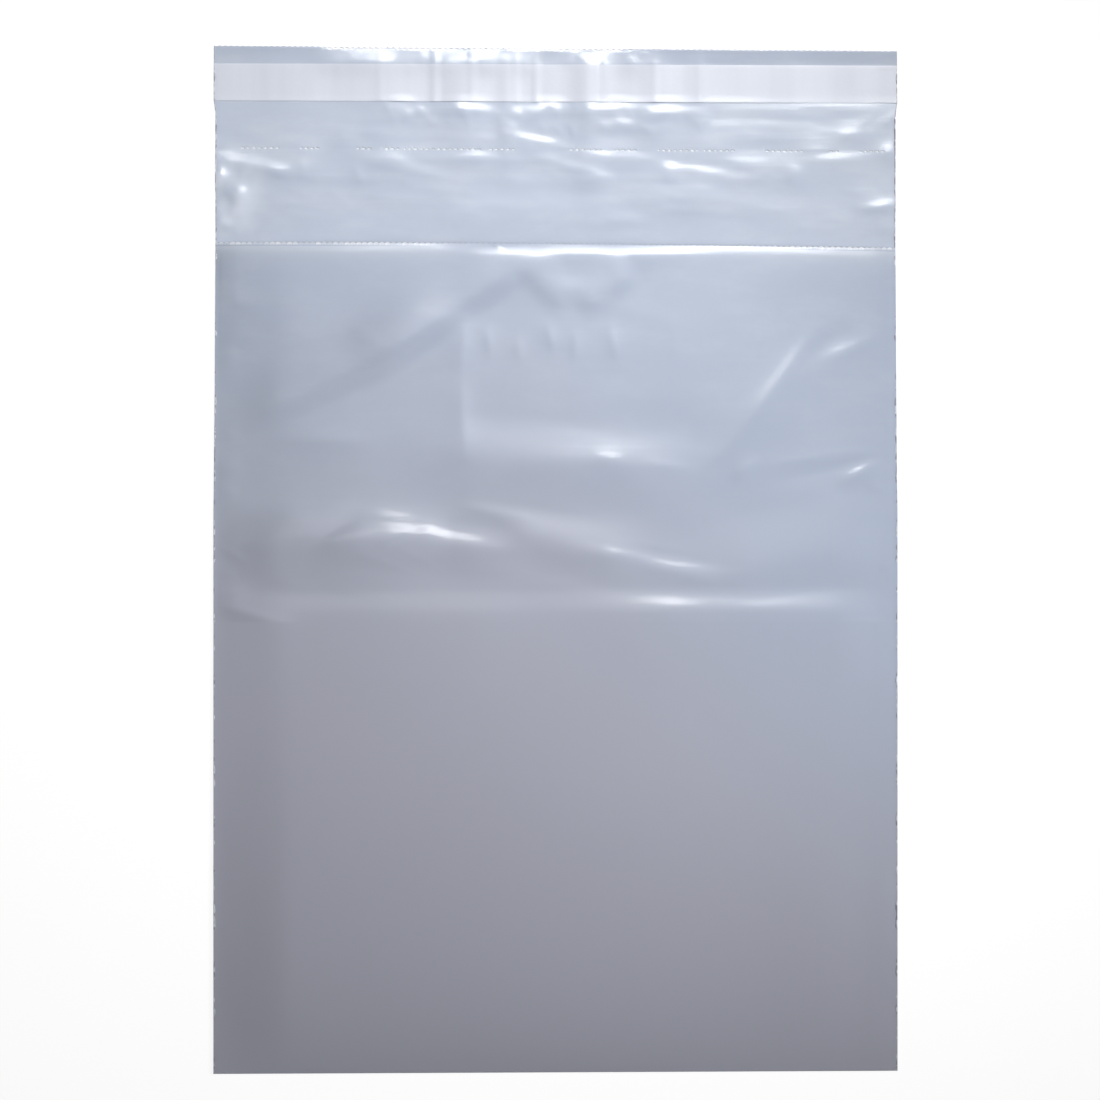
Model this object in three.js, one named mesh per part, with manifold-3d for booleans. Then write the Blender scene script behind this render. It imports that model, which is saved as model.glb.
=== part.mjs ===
// Tamper-evident bag of clear polythene film, lying flat and empty with its mouth a little open.
// One web is folded across at the bottom and welded down both sides. Its back panel runs past the
// mouth as a lip with a tear line, and the lip carries a tamper tape under a peel-off release liner.
// Millimetres. X runs across the bag, +Y towards the lip and +Z up from the table that it lies on.
import * as THREE from "three";
import { mergeGeometries, mergeVertices } from "three/addons/utils/BufferGeometryUtils.js";
import Module from "manifold-3d";

const wasm = await Module();
wasm.setup();

// Film web
const bagWidth = 300; // over the side welds
const pocketLength = 363; // bottom fold to mouth
const lipLength = 86; // mouth to the end of the lip
const filmThickness = 0.08;
const edgeHeight = 0.6; // both films together, at the side welds and the bottom fold
const weldWidth = 0.9; // hot-knife bead down each side of the pocket

// Front panel as it stands off the back one
const pocketGap = 10; // at the fullest place
const mouthShare = 0.8; // part of that gap left in the middle of the mouth
const curlDrop = 0.7; // the cut edge of the mouth curls down by this much
const curlLength = 8; // over this much of the panel
const foldRise = 2.4; // the panel springs up from the bottom fold towards this height
const foldReach = 9; // over about this much of the panel
const foldSettle = 90; // and settles again over about this much
const creaseFade = 10; // creases die away over this distance from the welds

// Saw-toothed cuts and the tear line
const toothPitch = 2.54;
const toothDepth = 0.5;
const slitPitch = 2.54;
const slitLength = 1.2;
const slitWidth = 0.5;
const tearLineHeight = 41.7; // mouth to the row of slits
const cutterReach = 1; // cutters run this far past what they cut
const cutterTop = 30; // over everything that lies on the table

// Tape and liner on the lip
const linerFromEnd = 7; // end of the lip to the liner
const linerWidth = 16.4;
const linerThickness = 0.06;
const linerLift = 0.4; // the liner's lower edge stands off the film for a finger
const tapeWidth = 12.5;
const tapeThickness = 0.05;
const seatGap = 0.02; // left between pieces that lie on each other
const gatherMargin = 2; // the lip keeps the liner's gathers this far past its lower edge
const endTurn = 0.8; // the end of the lip turns up by this much past the liner

// Grid lines of the film
const pocketColumns = 28;
const creasedLength = 176; // from the mouth down, where most creases lie
const creasedRows = 25;
const smoothRows = 7;
const rowCrowding = 1.7; // over 1, the lower rows lie closer together towards the fold
const lipColumns = 46;
const lipRows = 5;
const roundSteps = 5;
const flatTolerance = 0.003; // faces that lie flat within this are made one

// Creases of the front panel: x from the middle, distance below the mouth, height, half width, bow
const frontCreases = [
  { from: [-60, 161], to: [150, 161], height: 1.9, width: 7, bow: 0 }, // the line it was packed along
  { from: [-150, 118], to: [-40, 128], height: 1.8, width: 9, bow: 2 },
  { from: [-92, 123], to: [-2, 138], height: 2.2, width: 8, bow: 1 },
  { from: [-52, 113], to: [6, 125], height: 1.4, width: 7, bow: 1 },
  { from: [-30, 114], to: [46, 144], height: 2.2, width: 9, bow: 1 },
  { from: [-39.5, 24], to: [-38.2, 100], height: 1.2, width: 8, bow: 0 },
  { from: [-56, 97], to: [28, 95], height: 2.0, width: 11, bow: 2 },
  { from: [-6, 94], to: [84, 103], height: 1.6, width: 9, bow: 0 },
  { from: [-22, -2], to: [-124, 74], height: 2.0, width: 11, bow: 5 },
  { from: [-26, -2], to: [26, 44], height: 1.0, width: 10, bow: 0 },
  { from: [122, 34], to: [64, 106], height: 1.5, width: 8, bow: 0 },
  { from: [104, 129], to: [160, 112], height: 1.2, width: 10, bow: 0 },
];

// Broad swells of the front panel: x from the middle, distance below the mouth, height, half widths
const swells = [
  { at: [-95, 85], height: 1.0, reach: [38, 22] },
  { at: [-20, 20], height: 0.8, reach: [26, 14] },
  { at: [70, 60], height: 0.9, reach: [34, 26] },
  { at: [20, 70], height: 0.7, reach: [30, 16] },
  { at: [-70, 180], height: 0.7, reach: [46, 18] },
  { at: [60, 190], height: 0.6, reach: [50, 16] },
  { at: [20, 260], height: 0.5, reach: [60, 26] },
];

// Creases of the lip: x from the middle, distance above the mouth, height, half width, bow
const lipCreases = [
  { from: [-156, 20], to: [-122, 28], height: 1.2, width: 6, bow: 0 },
  { from: [-158, 38], to: [-104, 28], height: 0.7, width: 6, bow: 0 },
  { from: [-90, 37], to: [-34, 27], height: 0.8, width: 6, bow: 0 },
  { from: [-34, 52], to: [14, 39], height: 1.3, width: 6, bow: 0 },
  { from: [32, 37], to: [96, 28], height: 1.0, width: 6, bow: 0 },
  { from: [118, 42], to: [144, 60], height: 1.0, width: 6, bow: 0 },
];

// Gathers of the lip under the liner: x from the middle, height, half width
const gathers = [
  { at: -118, height: 0.3, width: 10 },
  { at: -76, height: 0.8, width: 9 },
  { at: -41, height: 1.1, width: 9 },
  { at: 15, height: 1.3, width: 7 },
  { at: 45, height: 0.6, width: 8 },
  { at: 62, height: 0.4, width: 6 },
  { at: 104, height: 0.3, width: 10 },
];

// Places where the liner's lower edge curls up further: x from the middle, height, half width
const linerCurls = [
  { at: -68, height: 0.8, width: 6 },
  { at: -40, height: 0.9, width: 8 },
  { at: -3, height: 0.7, width: 7 },
  { at: 28, height: 1.0, width: 8 },
  { at: 48, height: 0.9, width: 8 },
];

// Places that follow from the dimensions
const halfWidth = bagWidth / 2;
const cavityHalf = halfWidth - weldWidth;
const lipEndY = (pocketLength + lipLength) / 2;
const bottomY = -lipEndY;
const mouthY = bottomY + pocketLength;
const foldRadius = edgeHeight / 2;
const linerTopY = lipEndY - linerFromEnd;
const linerLowY = linerTopY - linerWidth;
const tapeLowY = linerTopY - tapeWidth;
const gatherLowY = linerLowY - gatherMargin;
const lipRootY = mouthY - 2 * toothDepth;
const archAngle = Math.PI - Math.asin(mouthShare);

// Evenly spaced grid lines from one place to another, both included
function linesBetween(start, end, steps) {
  return Array.from({ length: steps + 1 }, (_, i) => start + ((end - start) * i) / steps);
}

// A bell of unit height at a distance from its middle
function bell(distance, width) {
  return Math.exp(-((distance / width) ** 2));
}

// Height of a long soft crease: a bell across it, faded to nothing at both ends
function creaseHeight(crease, x, run) {
  const [startX, startRun] = crease.from;
  const spanX = crease.to[0] - startX;
  const spanRun = crease.to[1] - startRun;
  const length = Math.hypot(spanX, spanRun);
  const along = ((x - startX) * spanX + (run - startRun) * spanRun) / length ** 2;
  if (along <= 0 || along >= 1) return 0;
  const bowed = crease.bow * 4 * along * (1 - along);
  const across = ((x - startX) * spanRun - (run - startRun) * spanX) / length - bowed;
  return crease.height * Math.sin(Math.PI * along) * bell(across, crease.width);
}

function sumOfCreases(creases, x, run) {
  return creases.reduce((sum, crease) => sum + creaseHeight(crease, x, run), 0);
}

function sumOfSwells(x, run) {
  return swells.reduce((sum, { at, height, reach }) => {
    return sum + height * bell(x - at[0], reach[0]) * bell(run - at[1], reach[1]);
  }, 0);
}

function sumOfWaves(waves, x) {
  return waves.reduce((sum, wave) => sum + wave.height * bell(x - wave.at, wave.width), 0);
}

// Upper face of the front panel: an arch from weld to weld and from fold to mouth, its edge curled
// down, with the spring of the fold, the swells and the creases on it
function frontTop(x, y) {
  const across = Math.min(Math.abs(x) / cavityHalf, 1);
  const fromFold = Math.max(y - bottomY - foldRadius, 0);
  const along = fromFold / (pocketLength - foldRadius);
  const arch = (1 - across ** 2) * Math.sin(archAngle * along);
  const curl = Math.max(1 - (mouthY - y) / curlLength, 0) ** 2;
  const spring = foldRise * (1 - Math.exp(-fromFold / foldReach)) * Math.exp(-fromFold / foldSettle);
  const relief = spring + sumOfSwells(x, mouthY - y) + sumOfCreases(frontCreases, x, mouthY - y);
  const fade = Math.min((1 - across) * (cavityHalf / creaseFade), 1);
  return edgeHeight + arch * (pocketGap - curlDrop * curl) + fade * relief;
}

// Under face of the lip: flat at the mouth, gathered in waves where the liner holds it, and past the
// liner brought down to the table at the waves and turned up between them
function lipUnder(x, y) {
  const rise = Math.min(Math.max((y - mouthY) / (gatherLowY - mouthY), 0), 1);
  const past = Math.max((y - linerTopY) / linerFromEnd, 0);
  const waves = sumOfWaves(gathers, x) * rise ** 2 * (1 - past);
  const creases = sumOfCreases(lipCreases, x, y - mouthY);
  return waves + endTurn * past ** 2 + creases * Math.sin(Math.PI * rise);
}

// A closed body over grid lines, between a lower and an upper height
function gridBody(xs, ys, low, high) {
  const points = [];
  for (const height of [low, high]) {
    for (const y of ys) {
      for (const x of xs) points.push(x, y, height(x, y));
    }
  }
  const lower = (column, row) => row * xs.length + column;
  const upper = (column, row) => lower(column, row) + xs.length * ys.length;
  const endX = xs.length - 1;
  const endY = ys.length - 1;
  const faces = [];
  for (let row = 0; row < endY; row++) {
    for (let column = 0; column < endX; column++) {
      const next = column + 1;
      const above = row + 1;
      faces.push(upper(column, row), upper(next, row), upper(next, above));
      faces.push(upper(column, row), upper(next, above), upper(column, above));
      faces.push(lower(column, row), lower(next, above), lower(next, row));
      faces.push(lower(column, row), lower(column, above), lower(next, above));
    }
  }
  const wall = (c1, r1, c2, r2) => {
    faces.push(lower(c1, r1), lower(c2, r2), upper(c2, r2));
    faces.push(lower(c1, r1), upper(c2, r2), upper(c1, r1));
  };
  for (let row = 0; row < endY; row++) {
    wall(0, row + 1, 0, row);
    wall(endX, row, endX, row + 1);
  }
  for (let column = 0; column < endX; column++) {
    wall(column, 0, column + 1, 0);
    wall(column + 1, endY, column, endY);
  }
  const geometry = new THREE.BufferGeometry();
  geometry.setAttribute("position", new THREE.Float32BufferAttribute(points, 3));
  return geometry.setIndex(faces);
}

// A body for joining and cutting
function solid(geometry) {
  const bare = geometry.clone().deleteAttribute("normal").deleteAttribute("uv");
  const merged = mergeVertices(bare);
  const vertProperties = new Float32Array(merged.getAttribute("position").array);
  const triVerts = new Uint32Array(merged.getIndex().array);
  return new wasm.Manifold(new wasm.Mesh({ numProp: 3, vertProperties, triVerts }));
}

function geometryOf(body) {
  const { vertProperties, triVerts } = body.getMesh();
  const geometry = new THREE.BufferGeometry();
  geometry.setAttribute("position", new THREE.BufferAttribute(vertProperties, 3));
  geometry.setIndex(new THREE.BufferAttribute(triVerts, 1));
  return geometry;
}

// Saw-toothed cutter whose teeth point down the bag from a cut edge
function sawCutter(edgeY) {
  const teeth = Math.round(bagWidth / toothPitch);
  const pitch = bagWidth / teeth;
  const outline = new THREE.Shape();
  outline.moveTo(-halfWidth - cutterReach, edgeY + cutterReach);
  outline.lineTo(-halfWidth - cutterReach, edgeY);
  for (let i = 0; i < teeth; i++) {
    const rootX = -halfWidth + i * pitch;
    outline.lineTo(rootX, edgeY);
    outline.lineTo(rootX + pitch / 2, edgeY - toothDepth);
  }
  outline.lineTo(halfWidth, edgeY);
  outline.lineTo(halfWidth + cutterReach, edgeY);
  outline.lineTo(halfWidth + cutterReach, edgeY + cutterReach);
  const depth = cutterTop + cutterReach;
  const geometry = new THREE.ExtrudeGeometry(outline, { depth, bevelEnabled: false });
  return solid(geometry.translate(0, 0, -cutterReach));
}

// Cutter that leaves a half-round rim, drawn with the rim at its left and swept along +Y
function rimCutter(length) {
  const outline = new THREE.Shape();
  outline.moveTo(foldRadius, edgeHeight);
  outline.absarc(foldRadius, foldRadius, foldRadius, Math.PI / 2, (3 * Math.PI) / 2, false);
  outline.lineTo(foldRadius, -cutterReach);
  outline.lineTo(-cutterReach, -cutterReach);
  outline.lineTo(-cutterReach, edgeHeight + cutterReach);
  outline.lineTo(foldRadius, edgeHeight + cutterReach);
  const depth = length + 2 * cutterReach;
  const settings = { depth, bevelEnabled: false, curveSegments: roundSteps };
  const geometry = new THREE.ExtrudeGeometry(outline, settings);
  return geometry.translate(0, 0, -depth / 2).rotateX(Math.PI / 2);
}

// Both panels, welded at the sides and folded at the bottom, with the mouth open at the top
function pocketBody() {
  const columns = [-halfWidth, ...linesBetween(-cavityHalf, cavityHalf, pocketColumns), halfWidth];
  const creasedY = mouthY - creasedLength;
  const foldY = bottomY + foldRadius;
  const smooth = linesBetween(0, 1, smoothRows).map((t) => foldY + (creasedY - foldY) * t ** rowCrowding);
  const creased = linesBetween(creasedY, mouthY, creasedRows).slice(1);
  const rows = [bottomY, ...smooth, ...creased];
  const outside = solid(gridBody(columns, rows, () => 0, frontTop));
  const cavityRows = [...smooth, ...creased, mouthY + cutterReach];
  const ceiling = (x, y) => frontTop(x, Math.min(y, mouthY)) - filmThickness;
  const cavity = solid(gridBody(columns.slice(1, -1), cavityRows, () => filmThickness, ceiling));
  const middleY = bottomY + pocketLength / 2;
  const leftRim = solid(rimCutter(pocketLength).translate(-halfWidth, middleY, 0));
  const rightRim = solid(rimCutter(pocketLength).rotateZ(Math.PI).translate(halfWidth, middleY, 0));
  const foldRim = solid(rimCutter(bagWidth).rotateZ(Math.PI / 2).translate(0, bottomY, 0));
  const rims = leftRim.add(rightRim).add(foldRim);
  return outside.subtract(cavity).subtract(rims).subtract(sawCutter(mouthY));
}

// Row of slits across the lip
function tearLineCutter() {
  const slits = Math.floor(bagWidth / slitPitch);
  const firstX = (-(slits - 1) * slitPitch) / 2;
  const height = cutterTop + cutterReach;
  const boxes = Array.from({ length: slits }, (_, i) =>
    new THREE.BoxGeometry(slitLength, slitWidth, height).translate(
      firstX + i * slitPitch,
      mouthY + tearLineHeight,
      height / 2 - cutterReach,
    ),
  );
  return solid(mergeGeometries(boxes));
}

function lipBody() {
  const columns = linesBetween(-halfWidth, halfWidth, lipColumns);
  const rows = [lipRootY, ...linesBetween(mouthY, gatherLowY, lipRows), linerTopY, lipEndY];
  const upper = (x, y) => lipUnder(x, y) + filmThickness;
  const sheet = solid(gridBody(columns, rows, lipUnder, upper));
  return sheet.subtract(tearLineCutter()).subtract(sawCutter(lipEndY));
}

// A strip that lies on the gathered lip at a given height over the film
function stripGeometry(rows, thickness, height) {
  const columns = linesBetween(-halfWidth, halfWidth, lipColumns);
  const low = (x, y) => lipUnder(x, y) + filmThickness + height(x, y);
  return gridBody(columns, rows, low, (x, y) => low(x, y) + thickness);
}

function tapeGeometry() {
  return stripGeometry([tapeLowY, linerTopY], tapeThickness, () => seatGap);
}

function linerGeometry() {
  const onTape = tapeThickness + 2 * seatGap;
  const height = (x, y) => onTape + (y < tapeLowY ? linerLift + sumOfWaves(linerCurls, x) : 0);
  return stripGeometry([linerLowY, tapeLowY, linerTopY], linerThickness, height);
}

function named(name, geometry, look) {
  const mesh = new THREE.Mesh(geometry, new THREE.MeshStandardMaterial({ metalness: 0, ...look }));
  mesh.name = name;
  return mesh;
}

const bag = new THREE.Group();
bag.name = "tamper_evident_bag";
const filmLook = { color: 0xafb5c6, roughness: 0.3, transparent: true, opacity: 0.75 };
bag.add(named("film_bag", geometryOf(pocketBody().add(lipBody()).simplify(flatTolerance)), filmLook));
bag.add(named("tamper_tape", tapeGeometry(), { color: 0xc9ccd2, roughness: 0.5 }));
bag.add(named("release_liner", linerGeometry(), { color: 0xcbcdd7, roughness: 0.45 }));

export default bag;
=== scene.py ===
import math

import bpy
import numpy as np
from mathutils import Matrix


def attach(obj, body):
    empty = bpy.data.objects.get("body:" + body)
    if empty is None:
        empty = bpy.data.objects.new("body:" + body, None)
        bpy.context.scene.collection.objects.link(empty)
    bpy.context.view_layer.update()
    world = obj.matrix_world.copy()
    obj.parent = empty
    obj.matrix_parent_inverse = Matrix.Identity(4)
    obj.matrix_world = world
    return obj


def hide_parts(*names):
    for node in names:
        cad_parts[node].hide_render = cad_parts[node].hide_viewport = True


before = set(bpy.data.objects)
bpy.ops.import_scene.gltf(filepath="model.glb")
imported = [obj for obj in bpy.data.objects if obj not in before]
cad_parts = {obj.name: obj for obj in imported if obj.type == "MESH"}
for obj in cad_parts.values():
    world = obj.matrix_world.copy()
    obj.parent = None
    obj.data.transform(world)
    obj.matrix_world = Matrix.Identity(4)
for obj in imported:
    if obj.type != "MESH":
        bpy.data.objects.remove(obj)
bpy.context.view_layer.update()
mm = 0.001  # shapes are worked out in millimetres
rng = np.random.default_rng(11)


# one socket of a material; sums and products of sockets add Math nodes
class Wire:
    def __init__(self, tree, socket=None):
        self.tree = tree
        self.socket = socket

    # any node: its settings first, then the values or links of its sockets
    def node(self, kind, settings=None, sockets=None, out=0):
        made = self.tree.nodes.new(kind)
        for name, value in (settings or {}).items():
            setattr(made, name, value)
        for name, value in (sockets or {}).items():
            if isinstance(value, Wire):
                self.tree.links.new(value.socket, made.inputs[name])
            else:
                made.inputs[name].default_value = value
        return Wire(self.tree, made.outputs[out]) if made.outputs else made

    # a Math node on two values or sockets
    def maths(self, operation, first, second=0.0):
        return self.node("ShaderNodeMath", {"operation": operation}, {0: first, 1: second})

    def __add__(self, other):
        return self.maths("ADD", self, other)

    def __radd__(self, other):
        return self.maths("ADD", other, self)

    def __sub__(self, other):
        return self.maths("SUBTRACT", self, other)

    def __rsub__(self, other):
        return self.maths("SUBTRACT", other, self)

    def __mul__(self, other):
        return self.maths("MULTIPLY", self, other)

    def __rmul__(self, other):
        return self.maths("MULTIPLY", other, self)

    # soft step from 0 to 1 between two values of this socket
    def ramp(self, low, high):
        return self.node(
            "ShaderNodeMapRange",
            {"interpolation_type": "SMOOTHSTEP"},
            {"Value": self, "From Min": low, "From Max": high},
        )

    # noise on a stretched copy of a vector socket
    def noise(self, stretch, scale, detail=2.0, rough=0.5):
        placed = self.node("ShaderNodeMapping", {}, {"Vector": self, "Scale": stretch})
        return self.node(
            "ShaderNodeTexNoise", {}, {"Vector": placed, "Scale": scale, "Detail": detail, "Roughness": rough}
        )

    # first colour where the factor is 0, second where it is 1
    def mixColour(self, factor, first, second):
        return self.node("ShaderNodeMix", {"data_type": "RGBA"}, {0: factor, 6: first, 7: second}, out=2)


# an empty material, and a wire to add its nodes with
def newMaterial(name):
    material = bpy.data.materials.new(name)
    material.use_nodes = True
    material.node_tree.nodes.clear()
    return material, Wire(material.node_tree)


# one mesh object from points in millimetres and faces, with a material
def newPiece(name, points, faces, material):
    mesh = bpy.data.meshes.new(name)
    mesh.from_pydata((points * mm).tolist(), [], faces)
    mesh.polygons.foreach_set("use_smooth", np.full(len(mesh.polygons), True))
    mesh.materials.append(material)
    mesh.update()
    piece = bpy.data.objects.new(name, mesh)
    bpy.context.scene.collection.objects.link(piece)
    return piece


# quads between neighbouring rows and columns of a grid of points
def gridQuads(rows, columns):
    row, column = np.meshgrid(np.arange(rows - 1), np.arange(columns - 1), indexing="ij")
    corner = row * columns + column
    return np.stack([corner, corner + 1, corner + columns + 1, corner + columns], -1).reshape(-1, 4)


# 0 below low, 1 above high, an even S between them
def softStep(value, low, high):
    share = np.clip((value - low) / (high - low), 0, 1)
    return share * share * (3 - 2 * share)


# 1 between two soft sides: it rises over the left pair of values and falls over the right pair
def between(value, left, right):
    return softStep(value, *left) * softStep(-value, -right[1], -right[0])


# sizes of the bag, as cut
bag = {
    "width": 300.0,
    "pocket": 363.0,
    "lip": 86.0,
    "film": 0.08,
    "edge": 0.6,  # both films at the welds and the fold
    "weld": 0.9,
    "gap": 10.0,  # panels apart at the fullest place
    "mouthShare": 0.8,
    "curlDrop": 0.7,  # cut edge of the mouth
    "curlLength": 8.0,
    "teeth": 118,
    "toothDepth": 0.5,
    "tearLine": 41.7,  # mouth to the row of slits
    "slitWidth": 0.48,
    "linerFromEnd": 7.0,
    "linerWidth": 16.4,
    "tapeWidth": 12.5,
    "tipBend": 0.6,  # tips of the saw teeth
    "endTurn": 1.2,  # end of the lip
    "foldRise": 4.4,  # front panel over the bottom fold
    "foldReach": 20.0,  # how soon it rises
    "foldSettle": 140.0,  # how slowly it lies down again
    "foldEase": (-40.0, 140.0),  # x from where to where it gets lower
}
halfWidth = bag["width"] / 2
lipEndY = (bag["pocket"] + bag["lip"]) / 2
bottomY = -lipEndY
mouthY = bottomY + bag["pocket"]
linerTopY = lipEndY - bag["linerFromEnd"]
linerLowY = linerTopY - bag["linerWidth"]
tapeLowY = linerTopY - bag["tapeWidth"]
tearY = mouthY + bag["tearLine"]

# creases: start x, start over the mouth, end x, end over the mouth, bow, height, then the width of
# the flank on the left of that run and of the flank on its right
frontCreases = [
    (-158, -155, -108, -169, 0, 1.0, 3.0, 5),  # left end of the line it was packed along
    (-106, -115, -44, -124, 0, 1.3, 4.2, 14),  # claws in the streak left of the middle
    (-80, -130, -46, -123.5, 0, 0.9, 3.0, 3),
    (-82, -123.5, -10, -135.5, 0, 0.8, 3.4, 6),
    (-136, -121, -86, -118.5, 0, 1.1, 3.8, 5),
    (-142, -131.5, -116, -121.5, 0, -0.6, 3.0, 1.8),
    (-112, -132.5, -84, -120.5, 0, -0.8, 3.0, 1.8),
    (-74, -132, -54, -123, 0, -0.7, 2.6, 1.6),
    (-46, -113.5, -6, -121.5, 0, 0.8, 2.6, 7),  # streak across the middle
    (16, -134.6, 46, -137.4, 0, 0.35, 1.8, 3),
    (28, -138, 76, -149, 0, 0.5, 2.6, 6),
    (14, -92.4, 32, -95.6, 0, 0.28, 1.6, 2.5),  # lower rim of the flat patch
    (34, -95.4, 62, -98.4, 0, 0.3, 1.6, 3),
    (-40, -28, -41.5, -62, 0, 0.95, 4.0, 9.0),  # its left rim
    (-42, -52, -39, -100, 0, 1.0, 4.0, 9.0),
    (-92, -36, -70, -47, 0, 0.4, 1.6, 5),  # nick beside the fan
    (118, -32, 58, -109, 1, 1.55, 12.0, 3.8),  # near the right weld
    (114, -53, 146, -37, 0, 0.62, 1.9, 4),
    (106, -52, 132, -34, 0, -0.5, 3.0, 3),
    (76, -105, 90, -92, 0, 0.6, 2.0, 2.4),
    (86, -97, 140, -90, 0, 0.5, 2.6, 5),
    (92, -105, 148, -92, 0, -0.6, 4.0, 3),
    (122, -106, 146, -93, 0, 0.8, 2.4, 5),
    (-128, -85, -74, -85, 0, 0.7, 2.6, 5),  # left of the flat patch
    (-70, -252, 90, -254, 0, 0.3, 6.0, 4),  # faint lines in the lower half
    (-160, -300, -122, -306, 0, 0.5, 3.0, 4),
    (-160, -322, -118, -329, 0, 0.6, 3.0, 4),
    (-240, -4.4, -40, -4.4, 0, 1.5, 3.2, 26),  # along the mouth
    (84, -4.4, 230, -4.4, 0, 0.9, 3.2, 26),
    (-29, 1, -22, -3.5, 0, 0.5, 0.9, 0.9),  # nick in the mouth
    (-31, -35, -28, -52, 0, 0.42, 3.0, 2),  # ripples over the flat patch
    (-17, -38, -15, -54, 0, 0.34, 2.0, 3),
    (-4, -34, 0, -50, 0, 0.42, 2.6, 2.6),
    (9, -36, 8, -56, 0, 0.38, 3.0, 2),
    (23, -33, 28, -55, 0, 0.44, 2.4, 3),
    (52, -34, 53, -52, 0, 0.25, 2.4, 2),
]
# bands in the same terms: folds with even flanks
frontBands = [
    (-22, -161, 250, -161, 0, 2.35, 11, 44),  # the line it was packed along
    (-190, -161, 20, -161, 0, 0.9, 10, 30),
    (-230, -128, -44, -131, 0, 3.4, 18, 25),  # streak left of the middle
    (-118, -127, -6, -135.5, 0, 1.35, 10, 14),
    (-30, -123, 42, -139, 0, 1.5, 13, 16),  # streak across the middle
    (-4, -132, 86, -149, 0, 0.6, 6, 14),
    (-78, -90, 74, -100.5, 0, 1.7, 19, 24),  # flat patch
    (-4, -2, -92, -62, -2, 1.75, 11, 28),  # fans out from the mouth
    (-38, -26, -150, -82, 2, 1.85, 12, 26),
    (8, -30, -16, -6, 0, 0.7, 9, 14),
    (36, -9, 8, -30, 0, 0.8, 9, 14),
    (-52, -5, 72, -5, 0, 0.5, 6, 10),
    (50, -150, 170, -124, 0, 1.6, 26, 16),  # near the right weld
]
# broad hollows and swells: x, over the mouth, height, half width along X, half width along Y
frontHills = [
    (-95, -85, 0.8, 38, 22), (70, -60, 0.5, 34, 26), (-120, -30, 0.7, 20, 16), (-70, -190, 0.4, 46, 18),
    (-110, -240, 0.4, 40, 24), (20, -260, 0.4, 60, 26), (120, -300, 0.4, 26, 40), (-60, -320, 0.3, 50, 20),
]
# creases of the lip
lipCreases = [
    (-172, 42.5, -94, 26, 0, 0.9, 2.2, 6),  # under the tear line
    (-90, 37, -34, 27.5, 0, 0.34, 1.6, 4),
    (-96, 38.5, -56, 34, 0, 0.25, 1.4, 3),
    (-55, 39, -12, 36.5, 0, 0.3, 1.5, 3),
    (-15, 40, 28, 28.5, 0, 0.3, 1.4, 4),
    (0, 36, 28, 30.5, 0, 0.22, 1.3, 3),
    (6, 27, 28, 29.5, 0, 0.3, 2.4, 3),
    (0, 39.6, 50, 37.5, 0, 0.4, 1.4, 3),
    (32, 37.5, 96, 28, 0, 0.32, 1.3, 5),
    (98, 36.5, 138, 38, 0, 0.24, 1.3, 4),
    (130, 16, 156, 19.5, 0, 0.55, 1.8, 3),
    (-29, 51.3, 17, 40, 0, 0.24, 1.1, 4),  # over the tear line
    (-27, 48.5, 0, 44.5, 0, 0.16, 1.0, 2.5),
    (118, 42, 144, 60, 0, 0.18, 1.5, 4),
    (122, 50, 140, 46, 0, 0.15, 1.3, 3),
    (140, 50, 154, 62, 0, 0.2, 1.5, 3),
    (-77, 58.8, -62, 58.4, 1, 0.25, 0.9, 3),  # pushed up below the liner
    (-60, 57.6, -30, 60.6, 0, 0.4, 1.3, 3),
    (-48, 60.8, -28, 57.6, 0, 0.3, 1.1, 3),
    (-36, 58.6, -22, 58.2, 0, 0.2, 0.9, 2.4),
    (-22, 56.6, 0, 60.4, 0, 0.4, 1.3, 3),
    (-8, 60.2, 12, 57.2, 0, 0.3, 1.2, 3),
    (-26, 47, -2, 58.5, 1, 0.14, 1.2, 3),
    (6, 56.6, 36, 60.6, 1, 0.45, 1.4, 3.2),
    (26, 60.6, 58, 57.4, 0, 0.4, 1.3, 3),
    (34, 54.0, 52, 58.6, 0, 0.28, 1.2, 2.5),
    (44, 59.2, 72, 58.0, 0, 0.26, 1.1, 2.4),
    (66, 59.0, 92, 59.6, 0, 0.18, 0.9, 2.4),
    (88, 59.6, 116, 59.2, 0, 0.16, 0.9, 2.4),
    (-151, 16, -132, 11, 0, 0.5, 3.0, 3),  # crumpled by the left weld
    (-151, 9, -138, 5, 0, 0.5, 2.4, 3),
    (-90, 37, -84, 24, 0, 0.35, 3, 3),  # upright ripples under the tear line
    (-113, 38, -110, 28, 0, 0.3, 3, 3),
    (52, 37, 48, 27, 0, 0.3, 3, 3),
    (108, 36, 102, 26, 0, 0.35, 3, 4),
    (108, 60.2, 146, 60.7, 0, 0.25, 1.4, 3),  # right end of the liner
]
# soft bulges of the lip, in the same terms as the hills
lipHills = [
    (-148, 28, 1.45, 4.5, 5.5), (-140, 20, 1.1, 4.2, 6), (-149, 11, 0.6, 3, 4), (146, 41, 0.25, 4, 4),
    (146, 8, 0.25, 5, 4), (60, 22, 0.3, 16, 7), (-30, 14, 0.3, 22, 7),
]
# rolls of the lip's end beside the liner
endHills = [
    (-98, 79, 0.5, 7, 5), (-84, 79, 0.6, 9, 5), (-64, 79, 0.35, 7, 5), (-50, 79, 0.5, 8, 5),
    (-30, 79, 0.7, 7, 5), (-14, 79, 0.5, 5, 5), (34, 79, 0.5, 6, 5),
]


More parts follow.
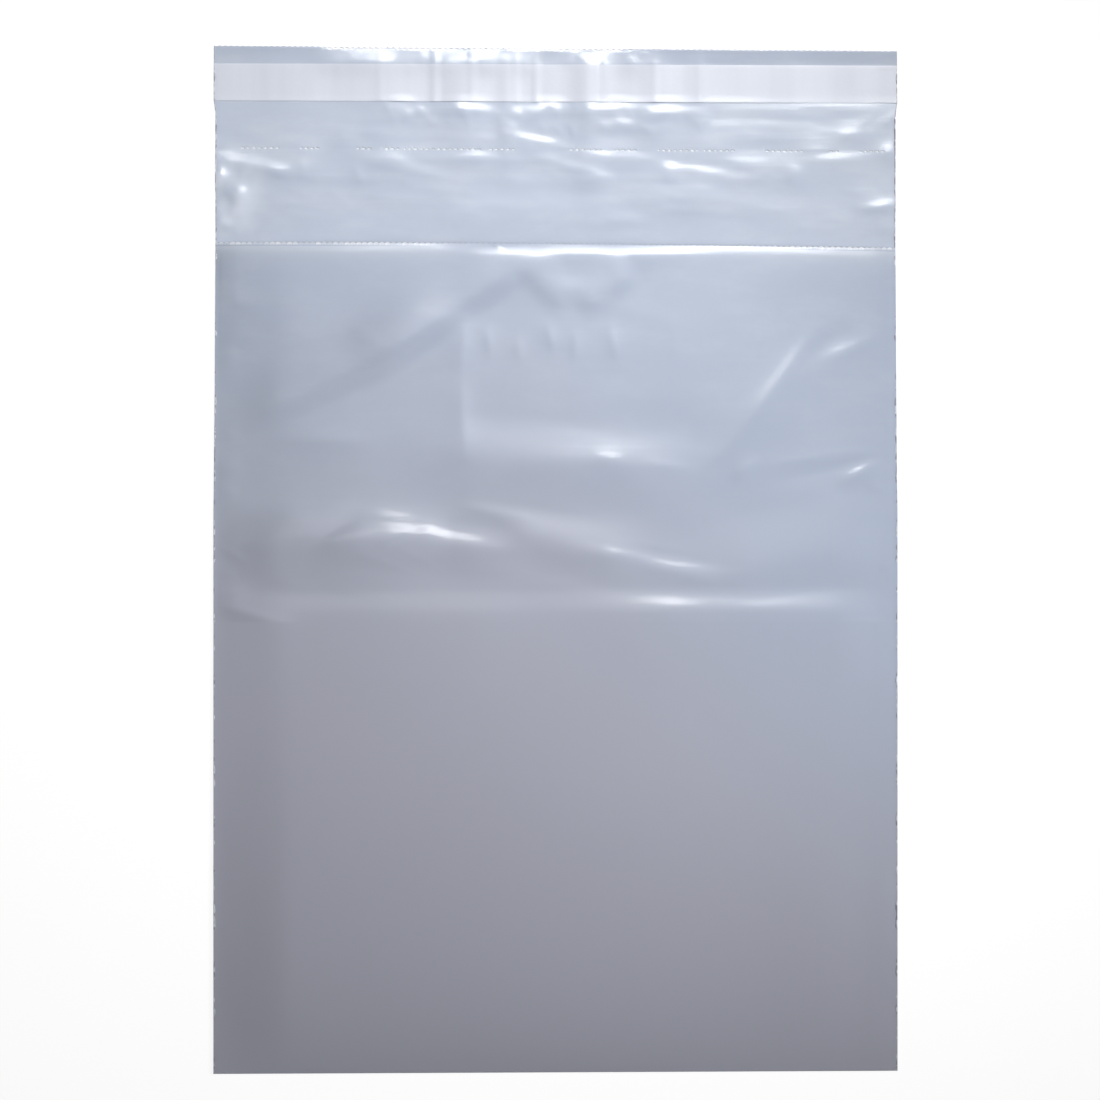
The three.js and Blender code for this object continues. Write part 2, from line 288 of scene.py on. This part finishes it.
# short faint creases at random places between two sides and two heights over the mouth; they fall a
# little to the right, and the flank on their right is half as wide again
def chanceCreases(count, left, right, low, high, lengths, height, widths, spread=0.2):
    x = rng.uniform(left, right, count)
    up = rng.uniform(low, high, count)
    length = rng.uniform(*lengths, count)
    turn = rng.normal(-0.4 * spread, spread, count)
    tall = height * rng.uniform(0.3, 1, count)
    width = rng.uniform(*widths, count)
    ends = x + length * np.cos(turn), up + length * np.sin(turn)
    return np.stack([x, up, *ends, rng.normal(0, 0.8, count), tall, width, 1.5 * width], 1).tolist()


# low swells at random places
def chanceHills(count, left, right, low, high, height, wides, deeps):
    places = rng.uniform(left, right, count), rng.uniform(low, high, count)
    tall = height * rng.uniform(-1, 1, count)
    return np.stack([*places, tall, rng.uniform(*wides, count), rng.uniform(*deeps, count)], 1).tolist()


frontCreases += chanceCreases(46, -150, 120, -152, -6, (24, 80), 0.2, (1.8, 4))
frontCreases += chanceCreases(12, -155, -70, -134, -112, (24, 50), 0.3, (1.5, 2.2))
# puckers at the welds
frontCreases += chanceCreases(22, -158, -148, -350, -4, (10, 26), 0.5, (1.3, 2.6))
frontCreases += chanceCreases(22, 132, 142, -350, -4, (10, 26), 0.5, (1.3, 2.6))
# the lip and its end
lipCreases += chanceCreases(90, -150, 130, 4, 60, (10, 50), 0.13, (0.9, 2.4))
lipCreases += chanceCreases(70, -160, 80, 3, 58, (50, 130), 0.09, (0.8, 1.8), 0.05)
lipCreases += chanceCreases(60, -80, 66, 52, 61, (4, 14), 0.22, (0.6, 1.2), 0.5)
endCreases = chanceCreases(40, -104, 40, 79, 85.5, (4, 18), 0.22, (0.6, 1.4), 0.25)
frontHills += chanceHills(40, -140, 140, -200, -6, 0.3, (12, 40), (7, 18))
lipHills += chanceHills(60, -146, 146, 8, 56, 0.22, (4, 16), (2.5, 6))

# gathers that the liner holds in the lip: x, height, width
gathers = [
    (-118, 0.3, 10), (-74, 0.6, 12), (-41, 1.0, 10), (-21, 0.5, 4), (15, 1.3, 7), (45, 0.6, 8), (62, 0.4, 5),
    (104, 0.3, 10),
]
# pleats across the tape and the liner, in the same terms
pleats = [
    (-77, 0.15, 1.8), (-53, 0.3, 1.6), (-36.4, 0.25, 1.6), (-17.2, 0.25, 1.4), (-8.5, 0.3, 1.4),
    (19, 0.25, 1.5), (43.6, 0.2, 1.4), (63.4, 0.3, 1.5),
]


# how far along a bowed line each place is, from 0 to 1, and how far to its left
def lineCoords(line, x, up):
    startX, startUp, endX, endUp, bow = line
    spanX, spanUp = endX - startX, endUp - startUp
    length = math.hypot(spanX, spanUp)
    along = np.clip(((x - startX) * spanX + (up - startUp) * spanUp) / length**2, 0, 1)
    left = ((up - startUp) * spanX - (x - startX) * spanUp) / length - bow * 4 * along * (1 - along)
    return along, left


# each crease is a ridge with a rounded crest along its line: its flanks fall off over their own
# widths, and it fades at both ends
def creaseSum(creases, x, up):
    total = np.zeros_like(x)
    for *line, height, left, right in creases:
        along, across = lineCoords(line, x, up)
        side = np.where(across > 0, left, right)
        crest = 0.3 * side  # how far the top is rounded
        drop = (np.sqrt(across**2 + crest**2) - crest) / side
        total += height * np.sin(np.pi * along) ** 1.5 * np.exp(-drop)
    return total


# each band falls in an even S to either side of its line
def bandSum(bands, x, up):
    total = np.zeros_like(x)
    for *line, height, left, right in bands:
        along, across = lineCoords(line, x, up)
        fall = 1 - softStep(np.abs(across) / np.where(across > 0, left, right), 0, 1)
        total += height * softStep(along, 0, 0.3) * softStep(1 - along, 0, 0.3) * fall
    return total


# each hill is a bell of two half widths
def hillSum(hills, x, up):
    bells = (
        height * np.exp(-(((x - atX) / wide) ** 2) - ((up - atUp) / deep) ** 2)
        for atX, atUp, height, wide, deep in hills
    )
    return sum(bells)


# each wave is a bell across X, the same all along Y
def waveSum(waves, x):
    return sum(height * np.exp(-(((x - at) / width) ** 2)) for at, height, width in waves)


# stretches across the bag, each with where it begins and where it ends: the rolled middle of the mouth,
# the part of the lip's end that lies flatter, and the part of that end which the blade tore
stretches = {
    "rolled": ((-74, -42), (72, 122)),
    "flatter": ((-108, -90), (24, 50)),
    "torn": ((-106, -98), (24, 34)),
}
# how far inside the welds each kind of relief fades in
weldFade = {"broad": (0, 34), "creases": (-4, 10), "bands": (0, 28)}


# 1 over the middle of the mouth, where its edge is rolled, and 0 near its ends
def rolled(x):
    return between(x, *stretches["rolled"])


# front panel: an arch from weld to weld and a sine from fold to mouth, its cut edge curled down in a
# cubic, plus the spring of the fold, which rises and then dies away, plus creases that fade at the welds
def frontHeight(x, y):
    cavityHalf = halfWidth - bag["weld"]
    across = np.minimum(np.abs(x) / cavityHalf, 1)
    along = np.clip((y - bottomY - bag["edge"] / 2) / (bag["pocket"] - bag["edge"] / 2), 0, None)
    swell = (1 - across**2) * np.sin((math.pi - math.asin(bag["mouthShare"])) * along)
    curl = np.clip(1 - (mouthY - y) / bag["curlLength"], 0, None) ** 3 * (0.3 + 0.7 * rolled(x))
    inside = (1 - across) * cavityHalf
    fromFold = np.clip(y - bottomY - bag["edge"] / 2, 0, None)
    settled = np.exp(-fromFold / bag["foldSettle"]) * (1.2 - softStep(x, *bag["foldEase"]))
    spring = bag["foldRise"] * (1 - np.exp(-fromFold / bag["foldReach"])) * settled
    broad = softStep(inside, *weldFade["broad"]) * (spring + hillSum(frontHills, x, y - mouthY))
    folds = softStep(inside, *weldFade["creases"]) * creaseSum(frontCreases, x, y - mouthY)
    folds += softStep(inside, *weldFade["bands"]) * bandSum(frontBands, x, y - mouthY)
    folds *= np.minimum(inside, 1)
    return bag["edge"] + swell * (bag["gap"] - bag["curlDrop"] * curl) + broad + folds - bag["film"] / 2


# lip: flat at the mouth, with creases between it and the tape, waves that the liner holds, and an end
# that turns up where the waves do not pull it down to the table
def lipHeight(x, y):
    rise = np.clip((y - mouthY) / (linerLowY - mouthY), 0, 1)
    droop = 1 - softStep(y, linerTopY - 1, lipEndY + 1)
    calm = 1 - 0.8 * between(x, *stretches["flatter"])
    endTurn = bag["endTurn"] * calm * np.clip((y - linerTopY) / bag["linerFromEnd"], 0, 1) ** 1.3
    fade = between(y, (mouthY, mouthY + 10), (linerLowY - 1, tapeLowY - 0.5))
    folds = creaseSum(lipCreases, x, y - mouthY) + hillSum(lipHills, x, y - mouthY)
    endRolls = hillSum(endHills, x, y - mouthY) * softStep(y, tapeLowY, linerTopY)
    endRolls += creaseSum(endCreases, x, y - mouthY) * softStep(y, linerTopY - 1, linerTopY + 1)
    endRolls += waveSum(pleats, x) * softStep(y, linerLowY - 1, linerLowY + 2) * droop
    bare = waveSum(gathers, x) * rise**2 * droop + endTurn + fade * folds + endRolls
    return np.maximum(bare, 0) + bag["film"] / 2


# the cut and the welds leave the outline a little off square: places along the bag, how far the sides
# draw in there, and how far the rows slope over half the width
outline = {
    "at": [bottomY, -100, 20, 70, mouthY, 196, linerLowY, linerTopY, lipEndY],
    "drawIn": [0.0, 0.0, 0.0, 0.5, 0.9, 0.8, 0.1, 0.1, 0.3],
    "slope": [0.7, 0.3, 0.0, -0.6, -1.2, -0.8, -0.6, -0.5, -1.2],
}


# places moved from the square sheet to that outline, each by a share of its distance from the middle
def asLaid(x, y, z):
    drawn = np.interp(y, outline["at"], outline["drawIn"]) / halfWidth
    sloped = np.interp(y, outline["at"], outline["slope"]) / halfWidth
    return np.stack([x * (1 - drawn), y + x * sloped, z], -1)


# the web runs from the mouth down the front panel, round the bottom fold and up the back panel; rows
# at the cuts and the tear line have more columns than the others
filmGrid = {
    "fineFrom": 86.0,  # the busiest creases, below the mouth
    "fineTo": 166.0,
    "mouthRows": 7,
    "creasedRows": 34,
    "fineRows": 54,
    "smoothRows": 15,
    "foldRows": 5,
    "backRows": 6,
    "lipRows": 54,
    "share": 3,  # fine columns to a wide one
    "cutRows": (0, 0.45, 0.95, 1.6),  # distances from a cut
    "cutReach": 2.1,
    "tearReach": 0.7,
    "mouthPaintedGlow": 0.42,  # painted glow below the mouth
    "paintedGlowReach": 3.6,
}

# stretches of the tear line that stand open: from x to x
openStretches = [
    (-138, -122), (-112, -105), (-88, -81), (-76, -70), (-66, -55), (-53, -34), (-30, -19), (6, 20), (26, 35),
    (46, 62), (66, 79), (93, 108), (121, 125), (135, 145),
]


# 1 on the open stretches of the tear line and 0 between them
def openness(x):
    windows = (between(x, (low - 2, low + 2), (high - 2, high + 2)) for low, high in openStretches)
    return np.clip(sum(windows), 0, 1)


# a plain row of the web; every row holds x, y, z and how much painted highlight it carries
def plainRow(columns, y, height, paintedGlintShare=0.0):
    y = np.full_like(columns, y)
    return np.column_stack([asLaid(columns, y, height(columns, y)), columns * 0 + paintedGlintShare])


# a row at a distance from a saw cut: the teeth grow towards the cut, and each tip bends down by its own
# amount, in a square curve, and carries a painted glint with it
def sawRow(columns, edgeY, away, height, depths, bends, paintedGlints):
    place = (columns + halfWidth) * bag["teeth"] / bag["width"]
    notch = 1 - np.abs(1 - 2 * np.mod(place, 1))
    near = 1 - away / filmGrid["cutRows"][-1]
    tooth = np.rint(place).astype(int)
    y = edgeY - away - depths[tooth] * notch * near
    bend = bends[tooth] * (1 - notch) * near**2
    # painted glint, strongest at the tip
    paintedGlint = paintedGlints[tooth] * (0.3 + 0.7 * softStep(1 - notch, 0, 0.4)) * near**0.6
    return np.column_stack([asLaid(columns, y, height(columns, y) - bend), paintedGlint])


# a row at the tear line: below or above the slits, which gape like a lens and lift the film; each slit has
# its own share of that from two sines of its number
def slitRow(columns, side, away):
    pitches = (columns + halfWidth) * bag["teeth"] / bag["width"]
    place = np.mod(pitches, 1)
    lens = np.sqrt(np.clip(1 - (4 * place - 3) ** 2, 0, 1)) * (place > 0.5)
    own = 0.75 + 0.25 * np.sin(2.4 * np.floor(pitches)) * np.sin(1.1 * np.floor(pitches))
    slack = (0.1 + 0.9 * openness(columns)) * own
    gape = np.maximum(bag["slitWidth"] / 2 * slack * lens, 0.03)
    y = tearY + side * (away or gape)
    lift = 0 if away else 0.05 * lens * slack
    # painted glint at the open slits, brighter in some places than in others
    bright = own * (0.75 + 0.25 * np.sin(columns * 0.31))
    paintedGlint = np.zeros_like(columns) if away else openness(columns) * lens * bright
    return np.column_stack([asLaid(columns, y, lipHeight(columns, y) + lift), paintedGlint])


# faces between two rows: quads, or where one row has more columns, one face to each wide cell
def rowFaces(start, count, nextStart, nextCount):
    cells = np.arange(min(count, nextCount) - 1)[:, None]
    share, nextShare = (count - 1) // len(cells), (nextCount - 1) // len(cells)
    ahead = start + share * cells + np.arange(share + 1)
    behind = nextStart + nextShare * cells + np.arange(nextShare, -1, -1)
    return np.concatenate([ahead, behind], 1)


# the whole web: its points, its faces and how much painted highlight each point carries
def filmWeb():
    wide = np.linspace(-halfWidth, halfWidth, 2 * bag["teeth"] + 1)
    fine = np.linspace(-halfWidth, halfWidth, 2 * bag["teeth"] * filmGrid["share"] + 1)
    radius = (bag["edge"] - bag["film"]) / 2
    foldY = bottomY + bag["edge"] / 2
    fineY = mouthY - filmGrid["fineFrom"]
    smoothY = mouthY - filmGrid["fineTo"]
    curlY = mouthY - bag["curlLength"]
    front = np.concatenate([
        np.linspace(mouthY - filmGrid["cutReach"], curlY, filmGrid["mouthRows"], endpoint=False),
        np.linspace(curlY, fineY, filmGrid["creasedRows"], endpoint=False),
        np.linspace(fineY, smoothY, filmGrid["fineRows"], endpoint=False),
        foldY + (smoothY - foldY) * np.linspace(1, 0, filmGrid["smoothRows"]) ** 1.6,
    ])
    turn = np.linspace(0, np.pi, filmGrid["foldRows"] + 2)[1:-1]
    lip = np.linspace(mouthY, lipEndY - filmGrid["cutReach"], filmGrid["lipRows"])
    back = np.linspace(foldY, mouthY, filmGrid["backRows"], endpoint=False)
    below = np.concatenate([back, lip[lip < tearY - 1]])
    above = lip[lip > tearY + 1]
    tips = rng.uniform(0.35, 1, (2, bag["teeth"] + 1))
    tipX = np.linspace(-halfWidth, halfWidth, bag["teeth"] + 1)
    torn = between(tipX, *stretches["torn"])
    # depth, bend and painted glint of each tooth
    mouthTeeth = (
        np.full_like(tipX, bag["toothDepth"]),
        bag["tipBend"] * tips[0] * (1 - 0.85 * rolled(tipX)),
        np.where(tips[0] > 0.5, tips[0], 0.4) * (1 - 0.9 * rolled(tipX)),
    )
    endTeeth = (
        bag["toothDepth"] * (0.3 + 0.7 * torn),
        bag["tipBend"] * tips[1] * (0.1 + 0.7 * torn),
        np.where(tips[1] > 0.5, 0.9 * tips[1], 0.2) * torn,
    )
    rows = [sawRow(fine, mouthY, away, frontHeight, *mouthTeeth) for away in filmGrid["cutRows"]]
    # painted highlight: the film is paler a little below the cut, where its edge is not rolled
    paintedGlare = filmGrid["mouthPaintedGlow"] * (1 - rolled(wide))
    fades = np.exp((front - mouthY) / filmGrid["paintedGlowReach"])
    rows += [plainRow(wide, y, frontHeight, paintedGlare * fade) for y, fade in zip(front, fades)]
    for angle in turn:
        y = foldY - radius * np.sin(angle)
        z = bag["edge"] / 2 + radius * np.cos(angle)
        rows.append(plainRow(wide, y, lambda x, _: np.full_like(x, z)))
    rows += [plainRow(wide, y, lipHeight) for y in below]
    slitAt = len(rows) + 1
    tear = filmGrid["tearReach"]
    rows += [slitRow(fine, side, away) for side, away in ((-1, tear), (-1, 0), (1, 0), (1, tear))]
    rows += [plainRow(wide, y, lipHeight) for y in above]
    rows += [sawRow(fine, lipEndY, away, lipHeight, *endTeeth) for away in filmGrid["cutRows"][::-1]]
    counts = [len(row) for row in rows]
    starts = np.cumsum([0] + counts)
    faces = [rowFaces(*pair) for pair in zip(starts, counts, starts[1:], counts[1:])]
    # the slits that stand open are left out
    perTooth = 2 * filmGrid["share"]
    cell = np.arange(len(faces[slitAt]))
    faces[slitAt] = faces[slitAt][(cell % perTooth < filmGrid["share"]) | (openness(fine[cell]) < 0.25)]
    print("film web:", len(rows), "rows,", int(starts[-1]), "points")
    points = np.concatenate(rows)
    return points[:, :3], [face for block in faces for face in block[:, ::-1].tolist()], points[:, 3]


# colours, gloss and places of the film; ranges are along or across the bag in metres
filmLook = {
    "warm": (0.44, 0.45, 0.54, 1),
    "cool": (0.402, 0.463, 0.58, 1),
    "haze": (0.56, 0.6, 0.69, 1),
    # colour of the painted glints and glow at the cuts and the slits
    "paintedGlint": (0.95, 0.95, 0.96, 1),
    # colour of the painted glare on the crumple by the left weld
    "paintedGlare": (0.84, 0.87, 0.95, 1),
    "alpha": 0.74,
    "roughLow": 0.14,
    "roughHigh": 0.2,
    "coat": 1.0,
    "coatRough": 0.4,
    "cooler": (-0.08, 0.15),
    "hazier": (-0.05, 0.2),
    "lip": (0.138, 0.15),
    "sides": (0.12, 0.146),
    "crumpleSide": (0.122, 0.146),
    "crumpleTop": (0.188, 0.172),
    "lineDepth": 0.0004,
    "crinkle": 0.00019,
}


# film: grey-blue and see-through, a little cooler and hazier towards the lip, with painted glints and glow
# where the blade cut and tore it and painted glare on the crumple by the left weld; die lines along X, soft
# streaks on the lip and crumples beside its welds bend the gloss, and the coat is a broader sheen over it
def filmMaterial():
    material, wire = newMaterial("clearFilm")
    place = wire.node("ShaderNodeTexCoord", out=3)
    cloud = place.noise((1, 1, 1), 14, 3)
    dieLines = place.noise((4, 260, 4), 1.6, 3, 0.6)
    across = wire.node("ShaderNodeSeparateXYZ", {}, {0: place}, out=0)
    along = wire.node("ShaderNodeSeparateXYZ", {}, {0: place}, out=1)
    cool = (wire.maths("MAXIMUM", across, 0.0) * 0.9 + along + (cloud - 0.5) * 0.06).ramp(*filmLook["cooler"])
    tint = wire.mixColour(cool, filmLook["warm"], filmLook["cool"])
    haze = place.noise((1, 2.4, 1), 30, 5, 0.6).ramp(0.4, 0.75) * along.ramp(*filmLook["hazier"])
    hazed = wire.mixColour(haze * 0.3, tint, filmLook["haze"])
    onLip = along.ramp(*filmLook["lip"])
    nearSide = wire.maths("ABSOLUTE", across).ramp(*filmLook["sides"]) * onLip
    # painted glare: pale blotches on the lip by the left weld
    glareByCrumple = (0.0 - across).ramp(*filmLook["crumpleSide"]) * along.ramp(*filmLook["crumpleTop"]) * onLip
    paintedGlare = place.noise((1, 0.8, 1), 52, 2).ramp(0.36, 0.66) * glareByCrumple
    withPaintedGlare = wire.mixColour(paintedGlare * 0.6, hazed, filmLook["paintedGlare"])
    # painted glints and glow, carried by the web's points
    paintedGlint = wire.node("ShaderNodeAttribute", {"attribute_name": "paintedGlint"}, out=2)
    colour = wire.mixColour(paintedGlint, withPaintedGlare, filmLook["paintedGlint"])
    rough = filmLook["roughLow"] + (filmLook["roughHigh"] - filmLook["roughLow"]) * cloud
    lines = dieLines * cloud * (0.4 + 0.6 * along.ramp(-0.02, 0.12))
    lined = wire.node("ShaderNodeBump", {}, {
        "Strength": 0.2, "Distance": filmLook["lineDepth"], "Height": lines,
    })
    patch = place.noise((1, 1.6, 1), 34, 1).ramp(0.35, 0.65) * (0.15 * along.ramp(0, 0.12) + 0.85 * onLip)
    streaks = place.noise((1, 5, 1), 24, 1) * patch * 1.8
    crumples = place.noise((1, 1.3, 1), 110, 1) * nearSide * 0.6
    bump = wire.node("ShaderNodeBump", {}, {
        "Strength": 1.0, "Distance": filmLook["crinkle"], "Height": streaks + crumples, "Normal": lined,
    })
    shader = wire.node("ShaderNodeBsdfPrincipled", {}, {
        "Base Color": colour, "Roughness": rough, "Alpha": filmLook["alpha"], "IOR": 1.5,
        "Coat Weight": filmLook["coat"], "Coat Roughness": filmLook["coatRough"], "Normal": bump,
    })
    wire.node("ShaderNodeOutputMaterial", {}, {"Surface": shader})
    return material


linerLook = {
    "pale": (0.6, 0.63, 0.71, 1),
    "grey": (0.565, 0.595, 0.675, 1),
    "rough": 0.45,
    "alpha": 0.9,
    "coat": 0.3,
    "coatRough": 0.22,
    "grain": 0.0004,
}


# liner: pale satin film, mottled in bands along Y
def linerMaterial():
    material, wire = newMaterial("releaseLiner")
    place = wire.node("ShaderNodeTexCoord", out=3)
    bands = place.noise((60, 4, 1), 1.0, 3)
    grain = place.noise((1, 1, 1), 700, 2)
    colour = wire.mixColour(bands.ramp(0.35, 0.65), linerLook["grey"], linerLook["pale"])
    bump = wire.node("ShaderNodeBump", {}, {
        "Strength": 0.08, "Distance": linerLook["grain"], "Height": grain,
    })
    shader = wire.node("ShaderNodeBsdfPrincipled", {}, {
        "Base Color": colour, "Roughness": linerLook["rough"], "Alpha": linerLook["alpha"], "Normal": bump,
        "Coat Weight": linerLook["coat"], "Coat Roughness": linerLook["coatRough"],
    })
    wire.node("ShaderNodeOutputMaterial", {}, {"Surface": shader})
    return material


tapeLook = {"tack": (0.56, 0.57, 0.60, 1), "thin": (0.62, 0.63, 0.66, 1), "roughLow": 0.25, "roughMore": 0.2}


# tape: pale adhesive, thicker in places
def tapeMaterial():
    material, wire = newMaterial("tamperAdhesive")
    place = wire.node("ShaderNodeTexCoord", out=3)
    coat = place.noise((8, 60, 1), 3.0, 3)
    colour = wire.mixColour(coat.ramp(0.35, 0.65), tapeLook["tack"], tapeLook["thin"])
    rough = tapeLook["roughLow"] + tapeLook["roughMore"] * coat
    shader = wire.node("ShaderNodeBsdfPrincipled", {}, {"Base Color": colour, "Roughness": rough})
    wire.node("ShaderNodeOutputMaterial", {}, {"Surface": shader})
    return material


# thickness, half to each side, with shading that the narrow cut edges leave alone
def solidify(piece, thickness):
    wall = piece.modifiers.new("thickness", "SOLIDIFY")
    wall.thickness = thickness * mm
    wall.offset = 0
    piece.modifiers.new("evenShading", "WEIGHTED_NORMAL")
    return piece


# a strip across the lip: it follows the lip's waves at a height that depends on the place across it
def newStrip(name, rows, height, material):
    columns = 2 * bag["teeth"] + 1
    x, y = np.meshgrid(np.linspace(-halfWidth, halfWidth, columns), rows)
    points = asLaid(x, y, lipHeight(x, np.maximum(y, tapeLowY)) + height(x, y)).reshape(-1, 3)
    return newPiece(name, points, gridQuads(len(rows), columns).tolist(), material)


print("film")
points, faces, paintedGlint = filmWeb()
film = solidify(newPiece("film_web", points, faces, filmMaterial()), bag["film"])
# the painted glints and glow go to the material as a point attribute
film.data.attributes.new("paintedGlint", "FLOAT", "POINT").data.foreach_set("value", paintedGlint)
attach(film, "root")
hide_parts("film_bag")

weldLook = {
    "dark": (0.24, 0.25, 0.31, 1),
    # pale: spots painted as glints on the bead
    "pale": (0.62, 0.65, 0.72, 1),
    "rough": 0.3,
    "alpha": 0.85,
    "coat": 1.0,
    "coatRough": 0.15,
}


# weld: the same film run together, dark in its thick places, with paler spots between them painted as glints
def weldMaterial():
    material, wire = newMaterial("weldedFilm")
    place = wire.node("ShaderNodeTexCoord", out=3)
    drops = place.noise((1, 1, 1), 420, 2)
    # painted glints: pale spots on the dark bead
    colour = wire.mixColour(drops.ramp(0.42, 0.6), weldLook["dark"], weldLook["pale"])
    shader = wire.node("ShaderNodeBsdfPrincipled", {}, {
        "Base Color": colour, "Roughness": weldLook["rough"], "Alpha": weldLook["alpha"],
        "Coat Weight": weldLook["coat"], "Coat Roughness": weldLook["coatRough"],
    })
    wire.node("ShaderNodeOutputMaterial", {}, {"Surface": shader})
    return material


bead = {"pocket": 0.3, "lip": 0.22, "sides": 8, "rows": 420, "uneven": 0.8}  # radii on the pocket and the lip


# weld beads: tubes that just reach both cut sides, their radius uneven where the hot knife left drops
def weldBeads():
    y = np.linspace(bottomY + bag["edge"], lipEndY - bag["toothDepth"], bead["rows"])
    onLip = softStep(y, mouthY - 2, mouthY)
    drops = np.convolve(rng.uniform(-1, 1, len(y) + 2), (0.3, 0.4, 0.3), "valid")
    plain = bead["pocket"] + (bead["lip"] - bead["pocket"]) * onLip
    radius = plain * (1 + bead["uneven"] * drops)
    turn = np.linspace(0, 2 * np.pi, bead["sides"], endpoint=False)
    points, quads = [], []
    for side in (-1, 1):
        edge = np.full_like(y, side * halfWidth)
        middle = np.maximum(np.where(onLip > 0.5, lipHeight(edge, y), bag["edge"] / 2), radius)
        x = edge[:, None] - side * radius[:, None] * (1 + np.cos(side * turn))
        z = middle[:, None] + radius[:, None] * np.sin(side * turn)
        points.append(asLaid(x, np.broadcast_to(y[:, None], x.shape), z).reshape(-1, 3))
        # the last column of the grid closes onto the first
        row, column = np.divmod(gridQuads(len(y), bead["sides"] + 1), bead["sides"] + 1)
        quads.append(row * bead["sides"] + column % bead["sides"] + len(quads) * x.size)
    return np.concatenate(points), np.concatenate(quads).tolist()


points, faces = weldBeads()
beads = newPiece("weld_beads", points, faces, weldMaterial())
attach(beads, "root")
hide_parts("film_bag")

print("tape and liner")
# clearances and thicknesses from the lip up, and the lift of the liner's lower edge
stack = {"seat": 0.03, "tape": 0.05, "liner": 0.06, "lift": 0.1, "tapeRows": 7, "linerRows": 8}
# curls of that edge: x, height, width
linerCurls = [(-68, 0.45, 5), (-40, 0.4, 8), (-3, 0.4, 7), (28, 0.5, 8), (48, 0.45, 8), (75, 0.2, 14)]


# tape: flat on the film
def tapeHeight(x, y):
    return bag["film"] / 2 + stack["seat"] + stack["tape"] / 2


tapeRows = np.linspace(tapeLowY, linerTopY, stack["tapeRows"])
tape = newStrip("adhesive_strip", tapeRows, tapeHeight, tapeMaterial())
solidify(tape, stack["tape"])
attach(tape, "root")
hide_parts("tamper_tape")


# liner: flat on the tape, its lower edge rising in a quarter wave
def linerHeight(x, y):
    free = np.clip((tapeLowY - y) / (tapeLowY - linerLowY), 0, 1)
    lift = stack["lift"] + waveSum(linerCurls, x)
    under = bag["film"] / 2 + 2 * stack["seat"] + stack["tape"]
    return under + stack["liner"] / 2 + lift * (1 - np.cos(free * np.pi / 2))


linerRows = np.concatenate([
    np.linspace(linerLowY, tapeLowY, stack["linerRows"], endpoint=False),
    np.linspace(tapeLowY, linerTopY, stack["linerRows"]),
])
liner = newStrip("liner_strip", linerRows, linerHeight, linerMaterial())
solidify(liner, stack["liner"])
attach(liner, "root")
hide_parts("release_liner")

print("stage")
studio = {
    "ambient": 0.03,  # light that the sky gives
    "floor": 0.95,
    "glow": 0.8,  # share of plain white where the floor is seen
    "white": 1.1,
    "span": 8.0,
    "drop": 0.0004,  # floor under the bag
}


# 1 where the camera, a gloss or a clear sheet looks at it, and 0 for the light that it gives
def seenDirectly(wire):
    camera, glossy, through = (
        wire.node("ShaderNodeLightPath", out=ray)
        for ray in ("Is Camera Ray", "Is Glossy Ray", "Is Transmission Ray")
    )
    return wire.maths("MAXIMUM", wire.maths("MAXIMUM", camera, glossy), through)


world = bpy.data.worlds.new("studio")
bpy.context.scene.world = world
world.use_nodes = True
world.node_tree.nodes.clear()
sky = Wire(world.node_tree)
level = seenDirectly(sky) * (1 - studio["ambient"]) + studio["ambient"]
backdrop = sky.node("ShaderNodeBackground", {}, {"Color": (1, 1, 1, 1), "Strength": level})
sky.node("ShaderNodeOutputWorld", {}, {"Surface": backdrop})

floorMaterial, wire = newMaterial("paleFloor")
matte = wire.node("ShaderNodeBsdfDiffuse", {}, {"Color": (studio["floor"],) * 3 + (1,)})
glow = wire.node("ShaderNodeEmission", {}, {"Color": (1, 1, 1, 1), "Strength": studio["white"]})
floorMix = wire.node("ShaderNodeMixShader", {}, {0: seenDirectly(wire) * studio["glow"], 1: matte, 2: glow})
wire.node("ShaderNodeOutputMaterial", {}, {"Surface": floorMix})
half = studio["span"] / 2 / mm
low = -studio["drop"] / mm
floorPoints = np.array([(-half, -half, low), (half, -half, low), (half, half, low), (-half, half, low)])
newPiece("floor", floorPoints, [(0, 1, 2, 3)], floorMaterial)


# a soft lamp at a place, aimed at a point, its light narrowed to the spread in degrees; one that isn't
# mirrored lights the film but stays out of its gloss
def softbox(name, place, aim, size, power, spread, mirrored=True):
    lamp = bpy.data.lights.new(name, "AREA")
    lamp.shape = "RECTANGLE"
    lamp.size, lamp.size_y = size
    lamp.energy = power
    lamp.spread = math.radians(spread)
    box = bpy.data.objects.new(name, lamp)
    box.visible_glossy = mirrored
    box.location = place
    direction = np.array(aim) - np.array(place)
    flat = math.hypot(direction[0], direction[1])
    box.rotation_euler = (math.atan2(flat, -direction[2]), 0, math.atan2(-direction[0], direction[1]))
    bpy.context.scene.collection.objects.link(box)


# the key and the overhead stand beyond the lip and make the gloss; the fill and the side stand low on the
# left and the right
softbox("key", (0.09, 0.53, 0.71), (-0.015, 0.245, 0), (0.45, 0.3), 0.66, 50)
softbox("overhead", (-0.09, 0.48, 1.55), (-0.07, 0.28, 0), (1.6, 0.9), 0.66, 81)
softbox("fill", (-0.7, 0.05, 0.5), (-0.15, 0.0, 0), (0.35, 0.35), 0.06, 40, mirrored=False)
softbox("side", (0.75, -0.02, 0.5), (-0.045, -0.05, 0), (0.35, 0.35), 0.66, 43, mirrored=False)

print("camera")
# frame is what the picture spans at the table, in metres
view = {"height": 1.5, "frame": 0.4825, "x": -0.0024, "y": 0.0046, "sensor": 36}
camera = bpy.data.cameras.new("camera")
camera.sensor_width = view["sensor"]
camera.lens = view["sensor"] * view["height"] / view["frame"]
camera.clip_end = 100
viewer = bpy.data.objects.new("camera", camera)
viewer.location = (view["x"], view["y"], view["height"])
bpy.context.scene.collection.objects.link(viewer)
bpy.context.scene.camera = viewer
bpy.context.scene.view_settings.view_transform = "Standard"
